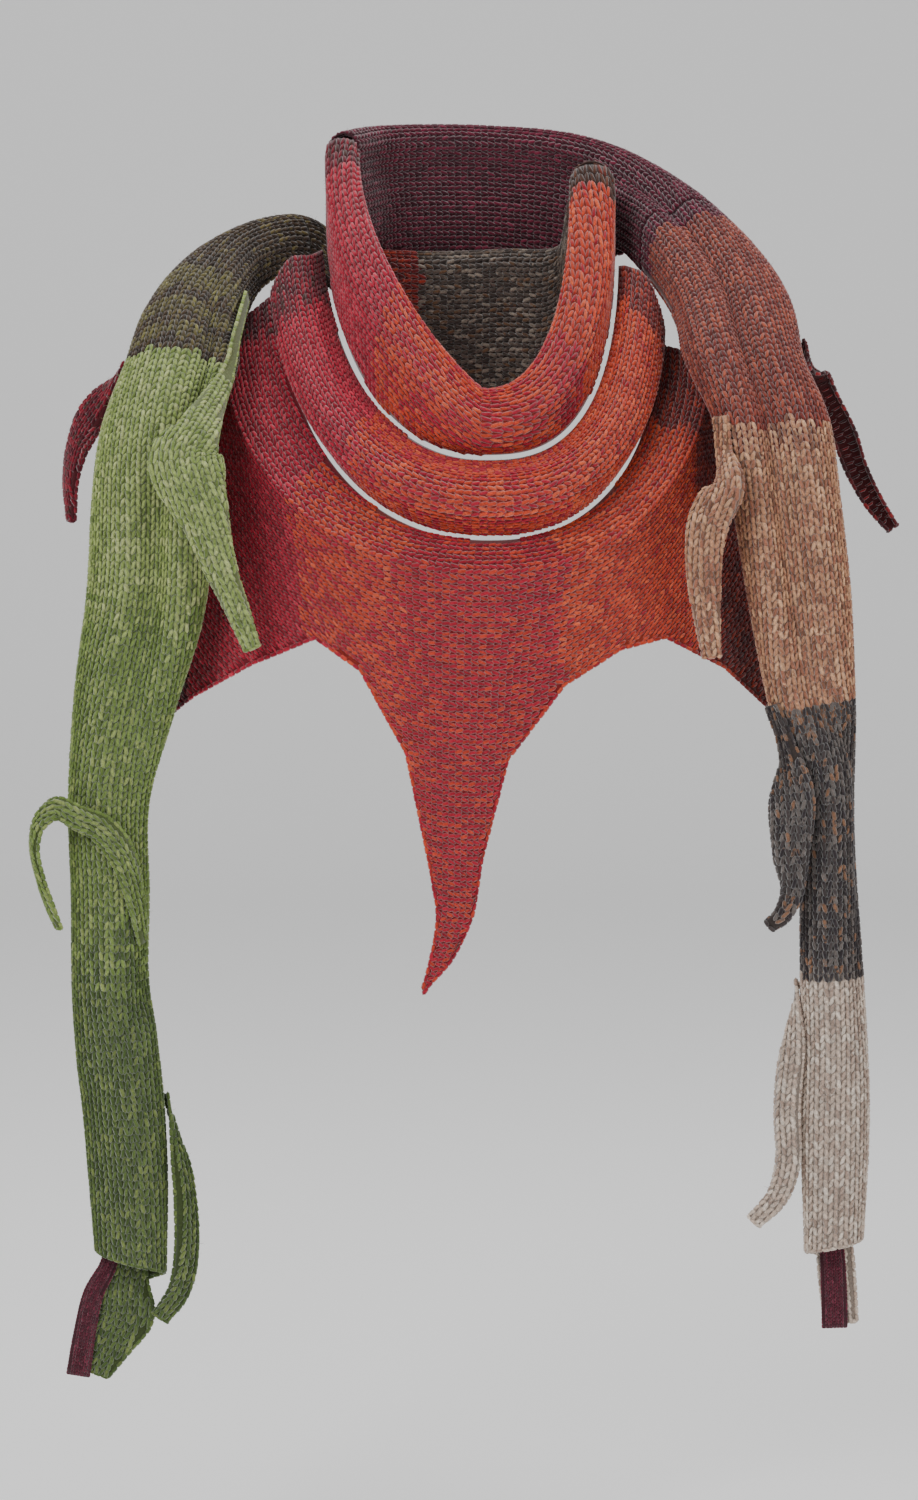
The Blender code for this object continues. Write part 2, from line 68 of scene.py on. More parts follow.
# Sections of the two gathered ribbons, as in the solids. Columns: x, y, z, yaw, up, width, height,
# close, then the trough's at, deep and wide, then slant.
rightRibbon = [
    (-78, 28, 75, 0, 90, 20, 50, 0.00, 0.40, 2, 0.20, 0),
    (-54, 70, 80, 0, 90, 22, 76, 0.00, 0.40, 4, 0.20, 0),
    (0, 90, 81, 0, 90, 24, 84, 0.00, 0.40, 4, 0.20, 0),
    (58, 84, 76, 20, 88, 28, 78, 0.00, 0.35, 4, 0.20, 0),
    (97, 60, 61, 50, 88, 44, 52, 0.00, 0.30, 6, 0.16, 0),
    (126, 22, 36, 50, 88, 62, 42, 0.00, 0.20, 8, 0.14, 0),
    (152, -32, -5, 40, 84, 69, 36, 0.05, 0.15, 10, 0.12, 0),
    (166, -82, -50, 28, 38, 68, 38, 0.50, 0.12, 12, 0.12, 0),
    (177, -111, -90, 20, 12, 66, 38, 0.75, 0.10, 13, 0.12, 0),
    (183, -124, -136, 16, 4, 61, 38, 0.80, 0.10, 13, 0.13, 0),
    (189, -130, -193, 12, 0, 57, 37, 0.80, 0.08, 12, 0.14, 0),
    (195, -132, -249, 10, 0, 48, 35, 0.80, 0.00, 8, 0.18, 0),
    (203, -132, -292, 10, 0, 35, 32, 0.75, -0.35, 5, 0.22, 0),
    (205, -132, -340, 10, 0, 32, 30, 0.70, -0.40, 4, 0.22, 0),
    (206, -132, -395, 8, 0, 34, 29, 0.70, -0.30, 3, 0.22, 0),
    (208, -131, -449, 8, 0, 36, 29, 0.70, -0.20, 2, 0.22, 0),
    (208, -130, -500, 6, 0, 37, 28, 0.70, 0.10, 2, 0.22, 2),
    (207, -129, -568, 4, 0, 31, 22, 0.60, 0.10, 0, 0.22, 8),
]
leftRibbon = [
    (69, 8, 58, 0, 90, 24, 52, 0.00, 0.00, 0, 0.20, 0),
    (67, 24, 47, 0, 90, 22, 62, 0.00, 0.00, 0, 0.20, 0),
    (54, 42, 10, 0, 90, 22, 90, 0.00, -0.20, 1, 0.20, 0),
    (16, 54, 6, 0, 90, 22, 94, 0.00, -0.35, 3, 0.20, 0),
    (-34, 54, 5, 0, 90, 22, 76, 0.00, -0.20, 1, 0.20, 0),
    (-72, 46, 9, 0, 90, 20, 34, 0.00, 0.00, 0, 0.20, 0),
    (-106, 30, 26, -30, 88, 32, 30, 0.00, 0.00, 0, 0.20, 0),
    (-146, 2, 14, -45, 86, 42, 34, 0.00, 0.00, 0, 0.16, 0),
    (-168, -42, -14, -36, 78, 56, 38, 0.05, -0.30, 6, 0.14, 0),
    (-179, -82, -52, -28, 40, 65, 36, 0.45, -0.42, 11, 0.16, 0),
    (-187, -110, -92, -20, 14, 69, 38, 0.72, -0.35, 12, 0.13, 0),
    (-190, -125, -136, -16, 4, 69, 38, 0.80, -0.12, 12, 0.12, 0),
    (-192, -131, -193, -12, 0, 67, 38, 0.80, -0.10, 12, 0.12, 0),
    (-203, -132, -249, -10, 0, 57, 36, 0.80, -0.14, 8, 0.16, 0),
    (-212, -132, -306, -10, 0, 45, 32, 0.75, -0.30, 5, 0.22, 0),
    (-211, -132, -363, -10, 0, 44, 30, 0.70, -0.45, 4, 0.22, 0),
    (-210, -132, -420, -8, 0, 44, 29, 0.70, -0.45, 4, 0.22, 0),
    (-205, -131, -478, -8, 0, 46, 28, 0.70, 0.30, 2, 0.22, -2),
    (-201, -130, -528, -6, 0, 43, 26, 0.65, 0.20, 2, 0.22, -6),
    (-199, -129, -576, -4, 0, 38, 21, 0.60, 0.00, 0, 0.22, -13),
]
rightShoulder, leftShoulder = 5, 6

# Lines that the front hangs in: lowest place, and how square the left and the right arm are.
# Columns: x, y, z, riseLeft, riseRight.
collarLines = [
    (4, -84, -96, 0.66, 1.15),
    (4, -98, -77, 0.58, 1.15),
    (5, -112, -77, 0.64, 1.20),
    (5, -125, -90, 0.85, 1.30),
    (5, -123, -105, 1.05, 1.35),
    (6, -110, -111, 1.10, 1.35),
]
foldLines = [
    (7, -126, -119, 1.10, 1.28),
    (8, -143, -126, 1.10, 1.22),
    (8, -147, -143, 1.10, 1.15),
    (8, -128, -156, 1.10, 1.15),
]
bibLines = [
    (8, -137, -163, 1.10, 1.10),
    (8, -146, -175, 1.10, 1.05),
]
foldEndsLeft = [(-98, 2, 22), (-110, -6, 20), (-119, -14, 0), (-110, -6, -14)]
foldEndsRight = [(90, -8, 6), (101, -14, -2), (110, -14, -32), (103, -4, -44)]
bibEndsLeft = [(-122, -8, -22), (-146, -20, -42)]
bibEndsRight = [(114, -8, -50), (136, -20, -54)]
# Hem columns: share, from -1 at the left end to 1 at the right, then x and z.
hemPlaces = [
    (-1.00, -184, -268),
    (-0.90, -162, -250),
    (-0.74, -128, -230),
    (-0.51, -91, -214),
    (-0.36, -65, -232),
    (-0.23, -39, -279),
    (-0.16, -26, -342),
    (-0.10, -17, -394),
    (-0.07, -12, -415),
    (-0.03, -5, -398),
    (0.01, 3, -340),
    (0.09, 18, -282),
    (0.24, 50, -240),
    (0.44, 82, -220),
    (0.62, 108, -214),
    (0.84, 142, -232),
    (1.00, 179, -267),
]
chestHalfWidth, chestDepth = 206, 142
tipTurnTop, tipTurnBottom, tipTurn = -366, -412, -17
ridgeShare = 0.18

# Hanging points. Their first rows lie on a ribbon: row and across say where.
# Lap columns: row, across, width, height. Point columns: x, y, z, yaw, up, width, height.
leftUpperLap = [(7.6, -0.70, 7), (8.4, -0.66, 7), (9.2, -0.62, 8)]
leftUpperPoint = [
    (-155, -134, -93, 5, 30, 22, 5),
    (-163, -148, -108, -5, 20, 38, 8),
    (-160, -153, -124, 0, 0, 38, 8),
    (-152, -154, -146, 0, 0, 26, 6),
    (-144, -152, -172, 0, 0, 17, 5),
    (-134, -148, -198, 0, 0, 12, 4),
    (-126, -145, -219, 0, 0, 8, 3),
]
leftMiddleLap = [
    (15.45, -0.40, 8, 1.0),
    (15.0, -0.30, 12, 1.5),
    (14.6, -0.20, 15, 1.5),
    (14.3, -0.02, 15, 1.5),
]
leftMiddlePoint = [
    (-225, -139, -316, -15, 5, 13, 2),
    (-238, -140, -310, -40, 10, 12, 2),
    (-249, -136, -318, -70, 5, 13, 3),
    (-252, -132, -333, -80, 0, 15, 3),
    (-249, -130, -350, -80, 0, 12, 3),
    (-244, -129, -366, -75, 0, 9, 3),
    (-238, -128, -380, -75, 0, 6, 2),
]
leftLowerLap = [(17.0, -0.70, 5)]
leftLowerPoint = [
    (-168, -120, -512, 60, 0, 12, 3),
    (-164, -120, -538, 50, 0, 15, 4),
    (-164, -119, -566, 30, 0, 14, 4),
    (-169, -118, -590, 20, 0, 12, 3),
    (-181, -118, -607, 10, 0, 9, 2),
]
rightUpperLap = [(7.9, 0.48, 10, 1.5), (8.4, 0.52, 14, 2.5)]
rightUpperPoint = [
    (138, -136, -128, -30, 5, 22, 6),
    (130, -142, -148, -12, 0, 22, 7),
    (128, -145, -172, -5, 0, 18, 6),
    (130, -146, -198, 0, 0, 14, 5),
    (133, -145, -224, 0, 0, 9, 4),
]
rightMiddleLap = [(11.0, 0.44, 10, 1.5), (11.5, 0.42, 14, 3.0)]
rightMiddlePoint = [
    (178, -139, -306, -15, 0, 25, 4),
    (178, -141, -336, -10, 0, 19, 4),
    (179, -141, -356, -10, 0, 12, 3),
    (174, -141, -370, -15, 0, 9, 2),
    (166, -141, -377, -20, 0, 6, 2),
]
rightLowerLap = [(14.3, 0.72, 6)]
rightLowerPoint = [
    (180, -125, -450, -25, 0, 13, 3),
    (177, -125, -484, -20, 0, 14, 4),
    (178, -126, -514, -15, 0, 13, 4),
    (172, -127, -535, -15, 0, 11, 3),
    (159, -128, -549, -15, 0, 8, 3),
]
leftBackLap = [(8.6, 0.70, 14)]
leftBackPoint = [
    (-222, -38, -84, -65, 10, 26, 4),
    (-234, -30, -104, -70, 5, 30, 5),
    (-239, -27, -128, -75, 0, 26, 4),
    (-238, -26, -152, -75, 0, 9, 3),
]
rightBackLap = [(6.6, -0.60, 12)]
rightBackPoint = [
    (197, -22, -66, 155, -10, 18, 3),
    (206, -13, -82, 165, 0, 16, 4),
    (217, -10, -102, 170, 0, 14, 4),
    (225, -9, -123, 170, 0, 12, 4),
    (235, -9, -142, 170, 0, 10, 3),
    (246, -10, -157, 170, 0, 6, 2),
]
leftEndFlap = [
    (-200, -111.0, -558, 0, 0, 21, 0.5),
    (-201, -111.0, -576, 0, 0, 22, 0.5),
    (-203, -111.0, -592, 0, 0, 31, 0.5),
    (-204, -111.0, -606, 0, 0, 36, 0.5),
    (-210, -111.0, -622, 0, 0, 25, 0.5),
    (-218, -111.0, -641, 0, 0, 12, 0.5),
]
leftEndFacing = [
    (-209, -114.1, -560, 0, 0, 8, 0.2),
    (-211, -114.1, -576, 0, 0, 9, 0.2),
    (-220, -114.1, -594, 0, 0, 11, 0.2),
    (-225, -114.1, -616, 0, 0, 12, 0.2),
    (-229, -114.1, -641, 0, 0, 13, 0.2),
]
rightEndFlap = [
    (206, -110.9, -550, 0, 0, 18, 0.5),
    (208, -110.9, -580, 0, 0, 20, 0.5),
    (211, -110.9, -611, 0, 0, 18, 0.5),
]
rightEndFacing = [
    (204, -114.2, -552, 0, 0, 12, 0.2),
    (206, -114.2, -582, 0, 0, 14, 0.2),
    (207, -114.2, -613, 0, 0, 14, 0.2),
]

# Yarns: each is a blend of strands, (red, green, blue, share) in display values.
yarns = {
    "crimson": [(168, 24, 50, 6), (142, 16, 40, 3), (190, 44, 66, 2)],
    "maroon": [(110, 14, 34, 5), (82, 14, 30, 3), (136, 28, 44, 2), (70, 40, 34, 1)],
    "orange": [(190, 62, 34, 6), (166, 44, 30, 4), (208, 86, 50, 2), (150, 22, 38, 1)],
    "orangeCrimson": [(190, 62, 36, 5), (160, 24, 46, 5), (206, 84, 52, 1)],
    "crimsonOrange": [(160, 22, 44, 6), (182, 54, 36, 3), (140, 18, 38, 2)],
    # A rust yarn darkened with painted shade, for rust cloth that lies in shade under the right tail and
    # inside the neck at the left back.
    "darkRust": [(126, 36, 32, 5), (96, 24, 28, 3), (158, 54, 36, 2)],
    "burgundy": [(86, 16, 38, 6), (66, 12, 30, 3), (108, 28, 52, 2)],
    "rust": [(132, 58, 46, 5), (104, 42, 38, 3), (158, 78, 58, 2)],
    "tan": [(180, 130, 98, 5), (150, 98, 76, 4), (202, 156, 120, 2), (122, 82, 64, 1)],
    "charcoal": [(62, 54, 53, 4), (98, 90, 86, 3), (44, 37, 40, 3), (124, 90, 68, 1)],
    "beige": [(190, 170, 154, 5), (164, 142, 128, 3), (210, 195, 180, 3)],
    "lightGreen": [(146, 162, 92, 5), (124, 142, 74, 4), (166, 176, 112, 2), (104, 122, 60, 1)],
    "midGreen": [(112, 132, 66, 5), (94, 114, 52, 4), (136, 150, 84, 2)],
    "darkGreen": [(84, 102, 50, 5), (66, 84, 38, 4), (108, 122, 64, 2)],
    "greyBrown": [(88, 76, 68, 4), (60, 50, 45, 4), (128, 116, 104, 2), (96, 70, 50, 1)],
    "brown": [(64, 40, 32, 5), (88, 52, 38, 3), (104, 44, 34, 1)],
    "olive": [(92, 84, 48, 5), (70, 60, 38, 4), (116, 110, 62, 2)],
    "oliveBrown": [(68, 52, 36, 5), (50, 38, 30, 4), (96, 84, 48, 2)],
    "redFlecked": [(92, 24, 30, 5), (60, 20, 26, 4), (140, 34, 38, 2)],
}


def smooth(rows, place):  # a curve through every row; place counts rows from 0
    rows = np.asarray(rows, float)
    place = np.clip(np.asarray(place, float), 0, len(rows) - 1)
    first = np.minimum(place.astype(int), len(rows) - 2)
    share = (place - first).reshape(place.shape + (1,) * (rows.ndim - 1))
    slopes = np.gradient(rows, axis=0)
    low, high = rows[first], rows[first + 1]
    rise = high - low
    return (
        low
        + share * slopes[first]
        + share**2 * (3 * rise - 2 * slopes[first] - slopes[first + 1])
        + share**3 * (slopes[first] + slopes[first + 1] - 2 * rise)
    )


def runAlong(line):  # how far along a line each of its points is
    return np.concatenate([[0], np.cumsum(np.linalg.norm(np.diff(line, axis=0), axis=1))])


def unit(vectors):
    return vectors / np.maximum(np.linalg.norm(vectors, axis=-1, keepdims=True), 1e-9)


def facing(yaw, up):
    yaw, up = np.radians(yaw), np.radians(up)
    return np.stack([np.cos(up) * np.sin(yaw), -np.cos(up) * np.cos(yaw), np.sin(up)], axis=-1)


def sectionOutline(across, width, height, close):  # round crown, straight leg, turned-in foot
    half = width / 2
    crownDepth = min(half, height * 0.55)
    footDepth = (height - crownDepth) * 0.9 * min(1, close * 1.5)
    angles = np.linspace(0, math.pi / 2, 16)
    crown = np.stack([half * np.sin(angles), crownDepth * (1 - np.cos(angles))], axis=1)
    foot = np.stack(
        [
            half - half * close * (1 - np.cos(angles)),
            height - footDepth + footDepth * np.sin(angles),
        ],
        axis=1,
    )
    outline = np.concatenate([crown, foot if footDepth > 0 else [[half, height]]])
    lengths = np.linalg.norm(np.diff(outline, axis=0), axis=1)
    run = np.concatenate([[0], np.cumsum(lengths)]) / lengths.sum()
    sideways = np.interp(np.abs(across), run, outline[:, 0]) * np.sign(across)
    return sideways, np.interp(np.abs(across), run, outline[:, 1])


# A form is a function of places along (s) and across (t), both lists from 0 to 1, that gives a grid.
def ribbonForm(table, first, last):
    def form(s, t):
        places = first + (last - first) * np.asarray(s, float)
        rows = smooth(table, places)
        step = 0.02
        along = unit(smooth(table, places + step)[:, :3] - smooth(table, places - step)[:, :3])
        crown = facing(rows[:, 3], rows[:, 4])
        side = unit(np.cross(along, crown))
        across = 2 * np.asarray(t, float) - 1
        outlines = [sectionOutline(across, *row[5:8]) for row in rows]
        sideways = np.array([outline[0] for outline in outlines])
        inwards = np.array([outline[1] for outline in outlines])
        width, at, deep, wide, slant = (rows[:, [column]] for column in (5, 8, 9, 10, 11))
        trough = deep * np.exp(-(((across - at) / wide) ** 2))
        lean = np.clip(sideways / np.maximum(width / 2, 1), -1, 1)
        sideways = sideways - trough * lean**3
        inwards = inwards + trough * np.sqrt(1 - lean**6)
        return (
            rows[:, None, :3]
            + side[:, None] * sideways[..., None]
            - crown[:, None] * inwards[..., None]
            + along[:, None] * (slant * across)[..., None]
        )
    return form


def pointForm(table):
    rows = [(*row, 0.0, 0.0, 0.0, 1.0, 0.0) for row in table]
    return ribbonForm(rows, 0, len(rows) - 1)


def formNormals(form, s, t, step=0.004):
    s, t = np.asarray(s, float), np.asarray(t, float)
    along = form(s + step, t) - form(s - step, t)
    across = form(s, t + step) - form(s, t - step)
    return unit(np.cross(along, across))


def hangingLine(low, end, rise, share):
    low, end = np.asarray(low, float), np.asarray(end, float)
    turn = share * math.pi / 2
    x = low[0] + (end[..., 0] - low[0]) * np.sin(turn)
    y = end[..., 1] + (low[1] - end[..., 1]) * np.cos(turn)
    z = low[2] + (end[..., 2] - low[2]) * (1 - np.cos(turn)) ** rise
    return np.stack([x, y, z], axis=-1)


def hangingLines(lines, endsLeft, endsRight, share):
    return [
        np.where(
            (share < 0)[:, None],
            hangingLine(line[:3], left, line[3], np.abs(share)),
            hangingLine(line[:3], right, line[4], np.abs(share)),
        )
        for line, left, right in zip(lines, endsLeft, endsRight)
    ]


def acrossLines(arms, t):
    return smooth(np.stack(arms), np.asarray(t, float) * (len(arms) - 1)).transpose(1, 0, 2)


def collarEnd(table, fromInside, back=1.5 * seamGap):
    t = np.linspace(*fromInside, len(collarLines))
    first, beyond = ribbonForm(table, 0, 1)([0, 0.01], t)
    return first - unit(beyond - first) * back


collarEnds = collarEnd(rightRibbon, (1, 0)), collarEnd(leftRibbon, (0, 1))


def collarForm(s, t):
    share = 2 * np.asarray(s, float) - 1
    return acrossLines(hangingLines(collarLines, *collarEnds, share), t)


def under(form, s):  # the line one wall and one seam below the far edge of another cloth
    return (form(s, [1]) - formNormals(form, s, [1]) * (wall + seamGap))[:, 0]


def foldForm(s, t):
    share = 2 * np.asarray(s, float) - 1
    lines = hangingLines(foldLines, foldEndsLeft, foldEndsRight, share)
    return acrossLines([under(collarForm, s)] + lines, t)


def chestY(x):
    return -chestDepth * (1 - np.minimum(np.abs(x) / chestHalfWidth, 0.99) ** 2.4) ** 0.55


def bibForm(s, t):
    share = 2 * np.asarray(s, float) - 1
    t = np.asarray(t, float)
    lines = [under(foldForm, s)] + hangingLines(bibLines, bibEndsLeft, bibEndsRight, share)
    top = acrossLines(lines, np.clip(t / ridgeShare, 0, 1))
    hem = np.array(hemPlaces)
    hemX = np.interp(share, hem[:, 0], hem[:, 1])
    hemZ = np.interp(share, hem[:, 0], hem[:, 2])
    hemPoint = np.stack([hemX, chestY(hemX), hemZ], axis=-1)
    down = np.clip((t - ridgeShare) / (1 - ridgeShare), 0, 1)
    fallen = lines[-1][:, None] + (hemPoint - lines[-1])[:, None] * down[None, :, None]
    points = np.where((t < ridgeShare)[None, :, None], top, fallen)
    fall = np.clip((tipTurnTop - points[..., 2]) / (tipTurnTop - tipTurnBottom), 0, 1)
    points[..., 0] += tipTurn * fall**1.5
    return points


def lapRow(ribbon, row, across, width, height=0.5):
    here = ribbonForm(ribbon, row, row + 1)
    t = [(across + 1) / 2]
    outwards = -formNormals(here, [0], t)[0, 0]
    x, y, z = here([0], t)[0, 0] + outwards * (wall + seamGap + height / 2)
    yaw = math.degrees(math.atan2(outwards[0], -outwards[1]))
    return (x, y, z, yaw, math.degrees(math.asin(outwards[2])), width, height)


def hangingForm(ribbon, laps, table):
    return pointForm([lapRow(ribbon, *lap) for lap in laps] + table)


class Cloth:
    # A form laid out flat: `along` and `across` are millimetres on the cloth, from its anchor line.
    # side is 1 where the outer face is on the side of the grid's own normals.

    def __init__(self, form, anchor, side, reach=(0, 1), spacing=2.0):
        self.form = form
        sparse = form(np.linspace(*reach, 60), np.linspace(0, 1, 40))
        lengthways = np.linalg.norm(np.diff(sparse, axis=0), axis=-1).sum(axis=0).max()
        sideways = np.linalg.norm(np.diff(sparse, axis=1), axis=-1).sum(axis=1).max()
        self.s = np.linspace(*reach, max(8, int(lengthways / spacing)))
        self.t = np.linspace(0, 1, max(8, int(sideways / spacing * 1.6)))
        points = form(self.s, self.t)
        normals = unit(np.cross(np.gradient(points, axis=0), np.gradient(points, axis=1))) * side
        run = np.linalg.norm(np.diff(points, axis=1), axis=-1)
        run = np.concatenate([np.zeros((len(points), 1)), np.cumsum(run, axis=1)], axis=1)
        middle = np.argmin(np.abs(self.t - anchor))
        run = run - run[:, [middle]]
        self.low, self.high = run[:, 0], run[:, -1]
        self.acrossPlaces = np.arange(run.min(), run.max() + spacing, spacing)
        self.points = self.spread(points, run)
        self.normals = unit(self.spread(normals, run))
        anchorLine = points[:, middle]
        self.run = runAlong(anchorLine)
        self.length = self.run[-1]
        self.size = (float((self.high - self.low).max()), float(self.length))
        area = np.linalg.norm(np.cross(np.diff(points, axis=0)[:, 1:], np.diff(points, axis=1)[1:]), axis=-1)
        self.area = float(area.sum())

    def spread(self, values, run):
        return np.array(
            [
                [np.interp(self.acrossPlaces, line, part) for part in row.T]
                for line, row in zip(run, values)
            ]
        ).transpose(0, 2, 1)

    def reach(self, along):
        return np.interp(along, self.run, self.low), np.interp(along, self.run, self.high)

    def place(self, along, across):
        i = np.interp(along, self.run, np.arange(len(self.run)))
        j = np.clip((across - self.acrossPlaces[0]) / (self.acrossPlaces[1] - self.acrossPlaces[0]),
                    0, len(self.acrossPlaces) - 1.001)
        i = np.minimum(i, len(self.run) - 1.001)
        i0, j0 = i.astype(int), j.astype(int)
        i, j = (i - i0)[..., None], (j - j0)[..., None]
        results = []
        for table in (self.points, self.normals):
            low = table[i0, j0] * (1 - i) + table[i0 + 1, j0] * i
            high = table[i0, j0 + 1] * (1 - i) + table[i0 + 1, j0 + 1] * i
            results.append(low * (1 - j) + high * j)
        return results[0], unit(results[1])


def sphereTemplate(around, rings):  # vertices of a small ball and its triangles
    ball = bmesh.new()
    bmesh.ops.create_uvsphere(ball, u_segments=around, v_segments=rings, radius=1)
    bmesh.ops.triangulate(ball, faces=ball.faces[:])
    points = np.array([vertex.co for vertex in ball.verts])
    faces = np.array([[vertex.index for vertex in face.verts] for face in ball.faces])
    ball.free()
    return points, faces


legBall = sphereTemplate(4, 3)
bumpBall = sphereTemplate(3, 3)


def legShapes(side):  # one leg of a V, in millimetres: across, along, outwards
    (x, y, z), reach = legBall[0].T, knit["lobeReach"]
    slope = (knit["lobeOuter"] - knit["lobeInner"]) / 2
    middle = (knit["lobeOuter"] + knit["lobeInner"]) / 2
    across = side * (middle + slope * z + x * knit["lobeWidth"])
    outwards = knit["lobeRise"] - 0.75 * z**2 + y * knit["lobeThickness"]
    return np.stack([across, z * reach + side * x * 0.3, outwards], axis=1)


def bumpShape():  # one purl bump of the reverse
    x, y, z = bumpBall[0].T
    across = z * knit["bumpReach"]
    along = 1 - z**2 - 0.5 + x * knit["bumpWidth"]
    outwards = knit["bumpRise"] - 0.55 * z**2 + y * knit["bumpThickness"]
    return np.stack([across, along, outwards], axis=1)


def linear(colour):
    colour = np.asarray(colour, float) / 255
    return np.where(colour <= 0.04045, colour / 12.92, ((colour + 0.055) / 1.055) ** 2.4)


def yarnColours(names):  # a strand of its yarn for each name, a little lighter or darker
    names = np.asarray(names)
    colours = np.zeros((len(names), 3))
    for name in sorted(set(names)):
        strands = np.array(yarns[name], float)
        chosen = np.flatnonzero(names == name)
        pick = chance.choice(len(strands), len(chosen), p=strands[:, 3] / strands[:, 3].sum())
        colours[chosen] = linear(strands[pick, :3])
    return colours * chance.uniform(0.82, 1.16, (len(names), 1))


def meanColours(names):
    means = {name: (linear(np.array(rows)[:, :3]) * np.array(rows)[:, 3:]).sum(axis=0)
             / np.array(rows)[:, 3].sum() for name, rows in yarns.items()}
    return np.array([means[name] for name in names])


def yarnAt(stripes, places):  # the yarn's name at each place; a blur in a row mixes two stripes
    places = np.asarray(places, float)
    names = np.full(places.shape, stripes[-1][1], dtype="<U16")
    done = np.zeros(places.shape, bool)
    for until, name, *blur in stripes:
        edge = until + (chance.uniform(-1, 1, places.shape) * blur[0] if blur else 0)
        here = ~done & (places < edge)
        names[here] = name
        done |= here
    return names


def paintPoints(mesh, title, values):  # colours at the points, which the wool reads
    layer = mesh.attributes.new(title, "FLOAT_COLOR", "POINT")
    filled = np.concatenate([values, np.ones((len(values), 1))], axis=1)
    layer.data.foreach_set("color", filled.astype(np.float32).ravel())


def meshOf(name, points, faces, colours, flecks):
    mesh = bpy.data.meshes.new(name)
    mesh.vertices.add(len(points))
    mesh.vertices.foreach_set("co", (points * millimetre).astype(np.float32).ravel())
    mesh.loops.add(len(faces) * 3)
    mesh.loops.foreach_set("vertex_index", faces.astype(np.int32).ravel())
    mesh.polygons.add(len(faces))
    mesh.polygons.foreach_set("loop_start", np.arange(len(faces), dtype=np.int32) * 3)
    mesh.polygons.foreach_set("use_smooth", np.ones(len(faces), bool))
    paintPoints(mesh, "yarn", colours)
    paintPoints(mesh, "fleck", flecks)
    mesh.update()
    mesh.validate()
    made = bpy.data.objects.new(name, mesh)
    bpy.context.scene.collection.objects.link(made)
    return made


def copies(cloth, shape, faces, along, across, face, turn, grow):
    # One shape laid at many places on the cloth; face is 1 for the outer side, -1 for the inner.
    offset = np.repeat(shape[None], len(along), axis=0) * grow[:, None, None]
    c, s = np.cos(turn)[:, None], np.sin(turn)[:, None]
    offset = np.stack(
        [
            offset[..., 0] * c - offset[..., 1] * s,
            offset[..., 0] * s + offset[..., 1] * c,
            offset[..., 2],
        ],
        axis=-1,
    )
    point, normal = cloth.place(along[:, None] + offset[..., 1], across[:, None] + offset[..., 0])
    points = point + normal * face * offset[..., 2:]
    flip = faces[:, ::-1] if face < 0 else faces
    stacked = flip[None] + np.arange(len(along))[:, None, None] * len(shape)
    return points.reshape(-1, 3), stacked.reshape(-1, 3)


def rowsOf(cloth, wale, course):  # where stitches fit: places along and across
    rows = max(1, round(cloth.length / course))
    pitch = cloth.length / rows
    alongRows = (np.arange(rows) + 0.5) * pitch
    low, high = cloth.reach(alongRows)
    along, across = [], []
    for place, left, right in zip(alongRows, low, high):
        first = math.ceil((left + wale * 0.30) / wale - 0.5)
        last = math.floor((right - wale * 0.30) / wale - 0.5)
        columns = np.arange(first, last + 1)
        along.append(np.full(len(columns), place))
        across.append((columns + 0.5) * wale)
    return np.concatenate(along), np.concatenate(across)


def knitFace(cloth, stripes, face, scale=1.0):
    # The stitches of one face. Outer ones are Vs of two legs, inner ones are purl bumps.
    along, across = rowsOf(cloth, knit["waleWidth"] * scale, knit["courseHeight"] * scale)
    names = yarnAt(stripes, along / cloth.length)
    shift = knit["jitter"] * scale
    along = along + chance.uniform(-shift, shift, along.shape)
    across = across + chance.uniform(-shift, shift, across.shape)
    points, faces, colours, flecks, count = [], [], [], [], 0
    if face > 0:
        template = legBall[1]
        shapes = [legShapes(side) * scale for side in (-1, 1)]
    else:
        template, shapes = bumpBall[1], [bumpShape() * scale]
        along = along + np.where(np.round(across / (knit["waleWidth"] * scale) - 0.5) % 2, 0.9, -0.9) * scale
    for side, shape in enumerate(shapes):
        flip = template[:, ::-1] if face > 0 and side == 0 else template
        turn = chance.uniform(-0.07, 0.07, along.shape)
        grow = chance.uniform(0.94, 1.07, along.shape)
        laid, stacked = copies(cloth, shape, flip, along, across, face, turn, grow)
        points.append(laid)
        faces.append(stacked + count)
        count += len(laid)
        for store in (colours, flecks):
            store.append(np.repeat(yarnColours(names), len(shape), axis=0))
    return [np.concatenate(part) for part in (points, faces, colours, flecks)]


